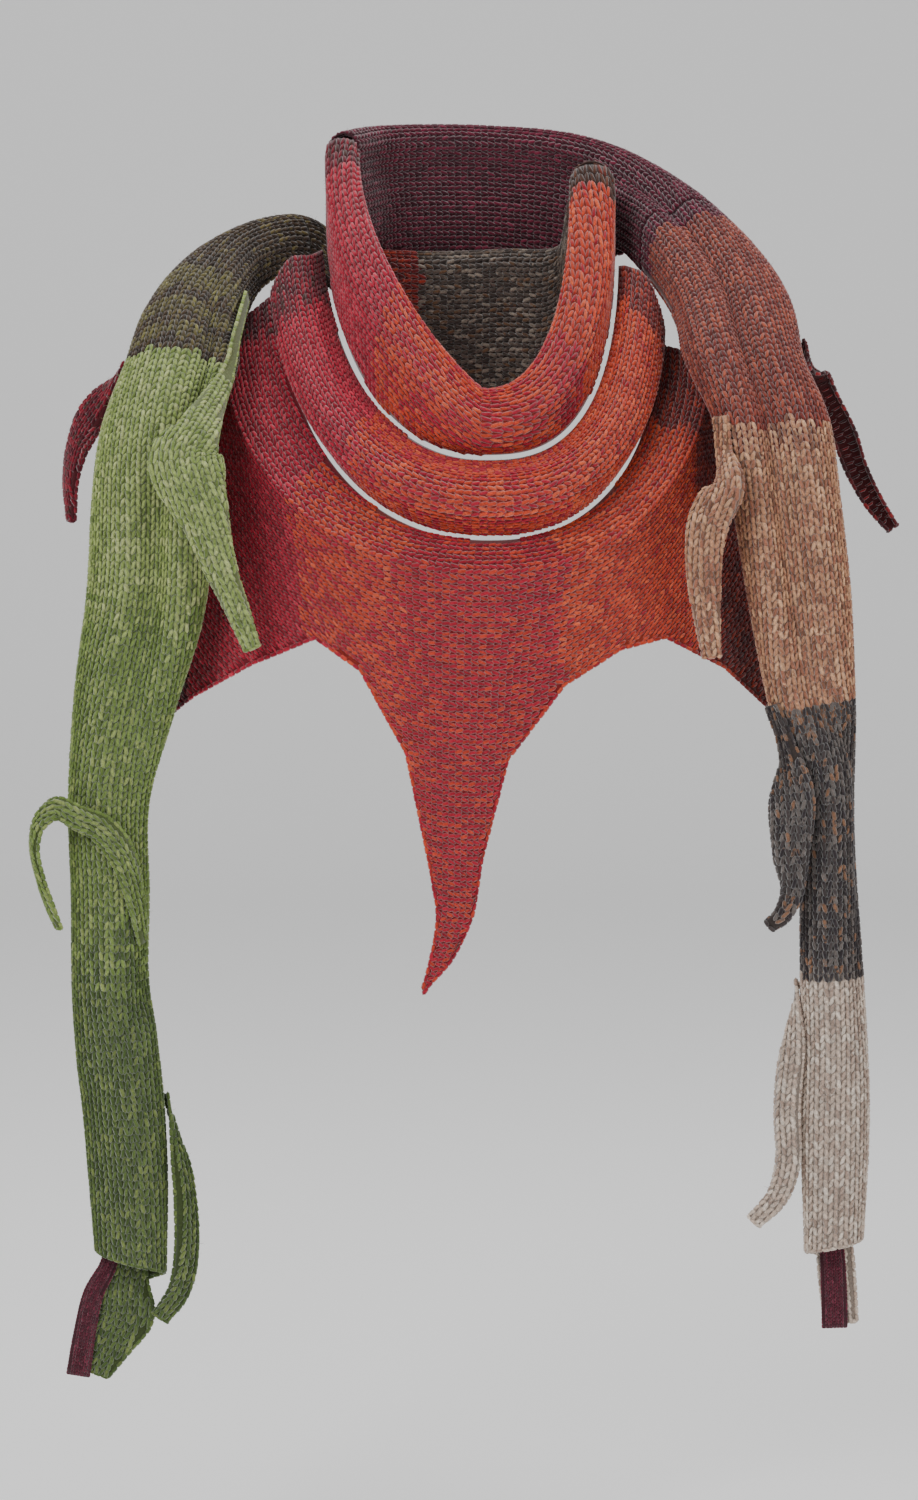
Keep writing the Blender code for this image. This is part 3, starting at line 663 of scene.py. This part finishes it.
def edgeChain(cloth, stripes, edges, scale=1.0):
    # Edge stitches end to end round the open edges of a piece.
    thick, long = knit["edgeThick"], knit["edgeLong"]
    points, faces, colours, flecks, count = [], [], [], [], 0
    s, t = cloth.s, cloth.t
    lines = {
        "near": cloth.form(s, [0]),
        "far": cloth.form(s, [1]),
        "start": cloth.form([s[0]], t),
        "end": cloth.form([s[-1]], t),
    }
    for edge in edges:
        line = lines[edge].reshape(-1, 3)
        run = runAlong(line)
        number = max(2, round(run[-1] / (long * 1.5 * scale)))
        at = (np.arange(number) + 0.5) * run[-1] / number
        at = at + chance.uniform(-0.3, 0.3, number) * scale
        centre = np.stack([np.interp(at, run, part) for part in line.T], axis=1)
        ahead = np.stack([np.interp(at + 1, run, part) for part in line.T], axis=1)
        behind = np.stack([np.interp(at - 1, run, part) for part in line.T], axis=1)
        forward = unit(ahead - behind)
        second = unit(np.cross(forward, [0.3, 0.9, 0.3]))
        third = unit(np.cross(forward, second))
        x, y, z = legBall[0].T
        size = thick * scale * chance.uniform(0.9, 1.12, (number, 1, 1))
        laid = (
            centre[:, None]
            + forward[:, None] * (z * long * scale)[None, :, None]
            + (second[:, None] * x[None, :, None] + third[:, None] * y[None, :, None]) * size
        )
        if edge in ("near", "far"):
            share = np.interp(at, run, np.linspace(0, 1, len(line)))
        else:
            share = np.full(number, 1.0 if edge == "end" else 0.0)
        names = yarnAt(stripes, share)
        faces.append((legBall[1][None] + np.arange(number)[:, None, None] * len(x)).reshape(-1, 3) + count)
        points.append(laid.reshape(-1, 3))
        count += number * len(x)
        for store in (colours, flecks):
            store.append(np.repeat(yarnColours(names), len(x), axis=0))
    return [np.concatenate(part) for part in (points, faces, colours, flecks)]


fibres = {
    "clothEach": 60,  # square millimetres of cloth for each loose fibre
    "lengths": (1.2, 4.2),
    "radii": (0.075, 0.06),  # at its root and at its bend
    "paler": 1.25,
}


def hairs(cloth, stripes, number):  # loose fibres that stand off the wool
    along = chance.uniform(0.5, cloth.length - 0.5, number)
    low, high = cloth.reach(along)
    across = low + (high - low) * chance.uniform(0.02, 0.98, number)
    root, normal = cloth.place(along, across)
    names = yarnAt(stripes, along / cloth.length)
    lean = unit(chance.normal(size=(number, 3))) * 1.1
    rise = unit(normal + lean * 0.9)
    bend = unit(rise + unit(chance.normal(size=(number, 3))) * 0.9)
    length = chance.uniform(*fibres["lengths"], (number, 1))
    stops = [root + normal * 0.8, root + normal * 0.8 + rise * length * 0.5,
             root + normal * 0.8 + rise * length * 0.5 + bend * length * 0.5]
    first = unit(np.cross(rise, [0.2, 0.3, 0.93]))
    second = unit(np.cross(rise, first))
    rings = []
    for stop, radius in zip(stops[:2], fibres["radii"]):
        for corner in range(3):
            angle = corner * math.tau / 3
            rings.append(stop + (first * math.cos(angle) + second * math.sin(angle)) * radius)
    points = np.stack(rings + [stops[2]], axis=1)
    faces = [(2, 1, 0)]
    for corner in range(3):
        after = (corner + 1) % 3
        faces += [(corner, after, after + 3), (corner, after + 3, corner + 3), (corner + 3, after + 3, 6)]
    faces = np.array(faces)[None] + np.arange(number)[:, None, None] * 7
    colours = np.repeat(yarnColours(names) * fibres["paler"], 7, axis=0)
    return points.reshape(-1, 3), faces.reshape(-1, 3), colours, colours


class Value:
    # One socket of a material's nodes, so that its maths reads as sums.

    def __init__(self, finish, socket):
        self.finish, self.socket = finish, socket

    def sum(self, operation, first, second):
        return self.finish.add("ShaderNodeMath", {"operation": operation}, (first, second))

    def __add__(self, other):
        return self.sum("ADD", self, other)

    def __radd__(self, other):
        return self.sum("ADD", other, self)

    def __mul__(self, other):
        return self.sum("MULTIPLY", self, other)

    def __rmul__(self, other):
        return self.sum("MULTIPLY", other, self)


class Finish:
    def __init__(self, name):
        self.material = bpy.data.materials.new(name)
        self.material.use_nodes = True
        self.tree = self.material.node_tree
        self.shader = self.tree.nodes["Principled BSDF"]

    def add(self, kind, settings=(), inputs=(), output=0):
        node = self.tree.nodes.new(kind)
        for title, value in dict(settings).items():
            setattr(node, title, value)
        pairs = inputs.items() if isinstance(inputs, dict) else enumerate(inputs)
        for title, value in pairs:
            self.give(node.inputs[title], value)
        return Value(self, node.outputs[output])

    def give(self, socket, value):
        if isinstance(value, Value):
            self.tree.links.new(value.socket, socket)
        else:
            socket.default_value = value

    def mix(self, share, first, second):
        node = self.tree.nodes.new("ShaderNodeMix")
        node.data_type = "RGBA"
        colours = [socket for socket in node.inputs if socket.type == "RGBA"]
        self.give(node.inputs[0], share)
        self.give(colours[0], first)
        self.give(colours[1], second)
        return Value(self, next(socket for socket in node.outputs if socket.type == "RGBA"))


wool = {
    "fibreSize": 1.1,  # millimetres
    "fleckSize": 2.4,
    "lightest": 1.30,
    "darkest": 0.62,
    "bumpHeight": 0.16,
    "sheen": 0.35,
    "sheenRoughness": 0.5,
    "specular": 0.18,
}


# The second argument darkens the whole colour; for the sheet it is painted shade between the stitches.
def woolFinish(name, shadeDarkening=1.0):
    finish = Finish(name)
    place = finish.add("ShaderNodeTexCoord", output=3)
    yarn = finish.add("ShaderNodeAttribute", {"attribute_name": "yarn"})
    fleck = finish.add("ShaderNodeAttribute", {"attribute_name": "fleck"})
    fibre = finish.add(
        "ShaderNodeTexNoise",
        {"noise_dimensions": "3D"},
        {"Vector": place, "Scale": 1000 / wool["fibreSize"], "Detail": 3.0, "Roughness": 0.65},
    )
    patch = finish.add(
        "ShaderNodeTexNoise",
        {"noise_dimensions": "3D"},
        {"Vector": place, "Scale": 1000 / wool["fleckSize"], "Detail": 1.0, "Distortion": 0.6},
    )
    share = finish.add(
        "ShaderNodeMapRange",
        {"clamp": True},
        {"Value": patch, "From Min": 0.52, "From Max": 0.60, "To Min": 0.0, "To Max": 0.8},
    )
    colour = finish.mix(share, yarn, fleck)
    light = finish.add(
        "ShaderNodeMapRange",
        {"clamp": True},
        {
            "Value": fibre,
            "From Min": 0.3,
            "From Max": 0.72,
            "To Min": wool["darkest"] * shadeDarkening,
            "To Max": wool["lightest"] * shadeDarkening,
        },
    )
    grey = finish.add("ShaderNodeCombineXYZ", (), {"X": light, "Y": light, "Z": light})
    colour = finish.add("ShaderNodeVectorMath", {"operation": "MULTIPLY"}, (colour, grey))
    finish.give(finish.shader.inputs["Base Color"], colour)
    finish.give(finish.shader.inputs["Roughness"], 0.86 + fibre * 0.12)
    bump = finish.add(
        "ShaderNodeBump",
        (),
        {"Height": fibre, "Strength": 0.6, "Distance": wool["bumpHeight"] * millimetre},
    )
    finish.give(finish.shader.inputs["Normal"], bump)
    finish.shader.inputs["Sheen Weight"].default_value = wool["sheen"]
    finish.shader.inputs["Sheen Roughness"].default_value = wool["sheenRoughness"]
    finish.shader.inputs["Specular IOR Level"].default_value = wool["specular"]
    return finish.material


stitchWool = woolFinish("stitch_wool")
# The sheet's wool is darkened with painted shade, for the shade that falls between the stitches.
sheetWool = woolFinish("sheet_wool", knit["paintedShadeInSheet"])


def sheetOf(name, cloth, stripes, cells=3.8):  # the thin cloth that the stitches stand on, in wool darkened with painted shade
    countS = max(4, round(cloth.length / cells))
    countT = max(3, round(cloth.size[0] / cells))
    grid = bmesh.new()
    bmesh.ops.create_grid(grid, x_segments=countS, y_segments=countT, size=0.5)
    flat = np.array([vertex.co for vertex in grid.verts])
    places, index = np.unique(np.round(flat[:, 0] + 0.5, 6), return_inverse=True)
    across, column = np.unique(np.round(flat[:, 1] + 0.5, 6), return_inverse=True)
    along = cloth.s[0] + (cloth.s[-1] - cloth.s[0]) * places
    points = cloth.form(along, across)[index, column] * millimetre
    for vertex, point in zip(grid.verts, points):
        vertex.co = point
    for face in grid.faces:
        face.smooth = True
    mesh = bpy.data.meshes.new(name)
    grid.to_mesh(mesh)
    grid.free()
    for title in ("yarn", "fleck"):
        paintPoints(mesh, title, meanColours(yarnAt(stripes, places[index])))
    made = bpy.data.objects.new(name, mesh)
    bpy.context.scene.collection.objects.link(made)
    wallMaker = made.modifiers.new("thickness", "SOLIDIFY")
    wallMaker.thickness = knit["sheetThickness"] * millimetre
    wallMaker.offset = 0
    mesh.materials.append(sheetWool)
    return made


# One row for each piece of cloth: its form, the line its columns of stitches follow, which of the
# grid's sides is outside, its stripes by share of the way along, and its open edges.
pieces = {
    "collar": {
        "form": collarForm, "anchor": 0.0, "side": -1, "slot": "crimson_knit",
        "stripes": [(0.05, "maroon", 0.01), (0.32, "crimson", 0.01), (0.66, "orangeCrimson", 0.01),
                    (0.72, "crimsonOrange", 0.01), (0.97, "orange", 0.01), (1, "brown")],
        "edges": (), "held": "draped", "restsOn": ["front_fold_cloth", "back_band_cloth"],
    },
    "front_fold": {
        "form": foldForm, "anchor": 0.5, "side": -1, "reach": (0.04, 0.98), "slot": "crimson_knit",
        # The last stripe, rust darkened with painted shade, is the fold's right end in shade under the right
        # tail.
        "stripes": [(0.09, "maroon", 0.02), (0.32, "crimson", 0.01), (0.64, "orangeCrimson", 0.01),
                    (0.94, "orange", 0.01), (1, "darkRust")],
        "edges": (), "held": "draped", "restsOn": ["front_bib_cloth"],
    },
    "front_bib": {
        "form": bibForm, "anchor": 0.18, "side": -1, "reach": (0.004, 0.996), "slot": "orange_red_knit",
        # The last stripe, rust darkened with painted shade, is the bib's right end in shade under the right
        # tail.
        "stripes": [(0.04, "maroon", 0.01), (0.26, "crimson", 0.01), (0.42, "orangeCrimson", 0.01),
                    (0.62, "crimsonOrange", 0.01), (0.87, "orange", 0.01), (1, "darkRust")],
        "edges": ("far", "start", "end"), "held": "draped", "restsOn": ["collar_cloth"],
    },
    "back_band": {
        "form": ribbonForm(rightRibbon, 0.01, rightShoulder - 0.01), "anchor": 0.5, "side": -1,
        "stripes": [(1, "burgundy")], "slot": "burgundy_knit",
        "edges": ("near", "far"), "held": "draped", "restsOn": ["under_band_cloth"],
    },
    "under_band": {
        "form": ribbonForm(leftRibbon, 0.01, leftShoulder - 0.01), "anchor": 0.5, "side": -1,
        # The rust stripe is darkened with painted shade, for the under band's inner face in shade at the
        # left back.
        "stripes": [(0.10, "brown", 0.02), (0.66, "greyBrown", 0.01), (0.76, "darkRust", 0.01),
                    (1, "oliveBrown")],
        "slot": "grey_brown_knit", "edges": ("near", "far"), "held": "draped", "restsOn": ["collar_cloth"],
    },
    "right_tail": {
        "form": ribbonForm(rightRibbon, rightShoulder + 0.01, 16.94), "anchor": 0.5, "side": -1,
        "rows": (5, 17),
        "stripes": [(5.2, "burgundy", 0.05), (8.0, "rust", 0.05), (11.1, "tan", 0.04),
                    (14.3, "charcoal", 0.04), (17, "beige")],
        "slot": "rust_knit", "edges": ("near", "far", "end"), "held": "draped",
        "restsOn": ["back_band_cloth"],
    },
    "left_tail": {
        "form": ribbonForm(leftRibbon, leftShoulder + 0.01, 18.94), "anchor": 0.5, "side": -1,
        "rows": (6, 19),
        "stripes": [(7.6, "oliveBrown", 0.05), (8.0, "olive", 0.05), (8.2, "oliveBrown", 0.03),
                    (8.45, "olive", 0.03), (8.62, "oliveBrown", 0.03), (8.8, "olive", 0.03),
                    (8.95, "oliveBrown", 0.03), (12.2, "lightGreen", 0.5), (15.6, "midGreen", 0.6),
                    (19, "darkGreen")],
        "slot": "light_green_knit", "edges": ("near", "far", "end"), "held": "draped",
        "restsOn": ["under_band_cloth"],
    },
    "left_point_upper": {
        "form": hangingForm(leftRibbon, leftUpperLap, leftUpperPoint), "stripes": [(1, "lightGreen")],
        "slot": "light_green_knit", "restsOn": ["left_tail_cloth"],
    },
    "left_point_middle": {
        "form": hangingForm(leftRibbon, leftMiddleLap, leftMiddlePoint), "stripes": [(1, "midGreen")],
        "slot": "moss_green_knit", "restsOn": ["left_tail_cloth"],
    },
    "left_point_lower": {
        "form": hangingForm(leftRibbon, leftLowerLap, leftLowerPoint), "stripes": [(1, "darkGreen")],
        "slot": "moss_green_knit", "restsOn": ["left_tail_cloth"],
    },
    "right_point_upper": {
        "form": hangingForm(rightRibbon, rightUpperLap, rightUpperPoint), "stripes": [(1, "tan")],
        "slot": "tan_knit", "restsOn": ["right_tail_cloth"],
    },
    "right_point_middle": {
        "form": hangingForm(rightRibbon, rightMiddleLap, rightMiddlePoint), "stripes": [(1, "charcoal")],
        "slot": "charcoal_knit", "restsOn": ["right_tail_cloth"],
    },
    "right_point_lower": {
        "form": hangingForm(rightRibbon, rightLowerLap, rightLowerPoint), "stripes": [(1, "beige")],
        "slot": "beige_knit", "restsOn": ["right_tail_cloth"],
    },
    "left_point_back": {
        "form": hangingForm(leftRibbon, leftBackLap, leftBackPoint), "stripes": [(1, "maroon")],
        "slot": "crimson_knit", "restsOn": ["left_tail_cloth"],
    },
    "right_point_back": {
        "form": hangingForm(rightRibbon, rightBackLap, rightBackPoint), "stripes": [(1, "redFlecked")],
        "slot": "burgundy_knit", "restsOn": ["right_tail_cloth"],
    },
    "left_end_flap": {
        "form": pointForm(leftEndFlap), "stripes": [(1, "darkGreen")], "slot": "moss_green_knit",
        "restsOn": ["left_tail_cloth"],
    },
    "right_end_flap": {
        "form": pointForm(rightEndFlap), "stripes": [(1, "beige")], "slot": "beige_knit",
        "restsOn": ["right_tail_cloth"],
    },
    "left_end_facing": {
        "form": pointForm(leftEndFacing), "stripes": [(1, "burgundy")], "slot": "burgundy_knit",
        "scale": 0.45, "restsOn": ["left_end_flap_cloth"],
    },
    "right_end_facing": {
        "form": pointForm(rightEndFacing), "stripes": [(1, "burgundy")], "slot": "burgundy_knit",
        "scale": 0.45, "restsOn": ["right_end_flap_cloth"],
    },
}


def shareStripes(piece):  # stripes given by rows of a ribbon become shares of the way along
    if "rows" not in piece:
        return piece["stripes"]
    first, last = piece["rows"]
    table = rightRibbon if piece["slot"] == "rust_knit" else leftRibbon
    fine = np.linspace(first, last, 200)
    run = runAlong(smooth(table, fine)[:, :3])
    run /= run[-1]
    return [
        (float(np.interp(row, fine, run)), name, *[part / (last - first) for part in blur])
        for row, name, *blur in piece["stripes"]
    ]


def join(parts):
    points, faces, colours, flecks, count = [], [], [], [], 0
    for p, f, c, k in parts:
        points.append(p)
        faces.append(f + count)
        colours.append(c)
        flecks.append(k)
        count += len(p)
    return [np.concatenate(part) for part in (points, faces, colours, flecks)]


triangles = 0
for name, piece in pieces.items():
    cloth = Cloth(piece["form"], piece.get("anchor", 0.5), piece.get("side", -1), piece.get("reach", (0, 1)))
    stripes = shareStripes(piece)
    scale = piece.get("scale", 1.0)
    edges = piece.get("edges", ("near", "far", "end"))
    parts = [
        knitFace(cloth, stripes, 1, scale),
        knitFace(cloth, stripes, -1, scale),
        hairs(cloth, stripes, int(cloth.area / fibres["clothEach"])),
    ]
    if edges:
        parts.append(edgeChain(cloth, stripes, edges, scale=scale))
    points, faces, colours, flecks = join(parts)
    stitches = meshOf(name + "_stitches", points, faces, colours, flecks)
    stitches.data.materials.append(stitchWool)
    sheet = sheetOf(name + "_cloth", cloth, stripes)
    for made in (sheet, stitches):
        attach(made, "root")
    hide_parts(name)
    triangles += len(faces)
print("all stitches", triangles)

# The floor and a curved backdrop, pale and plain.
studio = {
    "floorZ": -0.78,
    "behind": 4.2,
    "front": -4.2,
    "half": 5.0,  # half the floor's width
    "height": 4.5,
    "bend": 0.8,  # radius of the curve from floor to wall
    "bendSteps": 12,
    "worldStrength": 0.55,
}


def backdrop():
    profile = bmesh.new()
    corner = studio["bend"]
    stops = [(studio["front"], studio["floorZ"])]
    for step in range(studio["bendSteps"] + 1):
        angle = math.pi / 2 * step / studio["bendSteps"]
        stops.append((
            studio["behind"] - corner + corner * math.sin(angle),
            studio["floorZ"] + corner - corner * math.cos(angle),
        ))
    stops.append((studio["behind"], studio["height"]))
    line = [profile.verts.new((-studio["half"], y, z)) for y, z in stops]
    edges = [profile.edges.new(pair) for pair in zip(line, line[1:])]
    grown = bmesh.ops.extrude_edge_only(profile, edges=edges)["geom"]
    moved = [item for item in grown if isinstance(item, bmesh.types.BMVert)]
    bmesh.ops.translate(profile, vec=(2 * studio["half"], 0, 0), verts=moved)
    bmesh.ops.recalc_face_normals(profile, faces=profile.faces[:])
    for face in profile.faces:
        face.smooth = True
    mesh = bpy.data.meshes.new("backdrop")
    profile.to_mesh(mesh)
    profile.free()
    made = bpy.data.objects.new("backdrop", mesh)
    bpy.context.scene.collection.objects.link(made)
    paint = Finish("backdrop_paint")
    paint.shader.inputs["Base Color"].default_value = (0.93, 0.93, 0.93, 1)
    paint.shader.inputs["Roughness"].default_value = 0.9
    mesh.materials.append(paint.material)
    return made


backdrop()

lamps = [
    # name, place, target, size in metres, watts
    ("key", (-1.6, -2.4, 1.9), (0, 0, -0.2), 1.6, 62),
    ("fill", (2.2, -2.2, 0.4), (0, 0, -0.3), 2.0, 24),
    ("top", (0.2, 0.3, 2.4), (0, 0, 0), 1.4, 26),
    ("back", (0.3, 1.1, 1.2), (0, 0, -0.2), 1.2, 8),
]
for name, place, target, size, watts in lamps:
    light = bpy.data.lights.new(name, "AREA")
    light.size = size
    light.energy = watts
    lamp = bpy.data.objects.new(name, light)
    bpy.context.scene.collection.objects.link(lamp)
    lamp.location = place
    lamp.rotation_euler = (Vector(place) - Vector(target)).to_track_quat("Z", "Y").to_euler()
world = bpy.data.worlds.new("studio")
bpy.context.scene.world = world
world.use_nodes = True
background = world.node_tree.nodes["Background"]
background.inputs["Color"].default_value = (1, 1, 1, 1)
background.inputs["Strength"].default_value = studio["worldStrength"]
print("studio ready")

# The camera has the photograph's viewing angle. A tilt of 90 degrees is level.
shot = {"place": (-0.009408, -2.953924, -0.030786), "tilt": 85, "lens": 120, "sensorWidth": 36}
view = bpy.data.cameras.new("camera")
camera = bpy.data.objects.new("camera", view)
bpy.context.scene.collection.objects.link(camera)
camera.location = shot["place"]
camera.rotation_euler = (math.radians(shot["tilt"]), 0, 0)
view.lens = shot["lens"]
view.sensor_width = shot["sensorWidth"]
bpy.context.scene.camera = camera
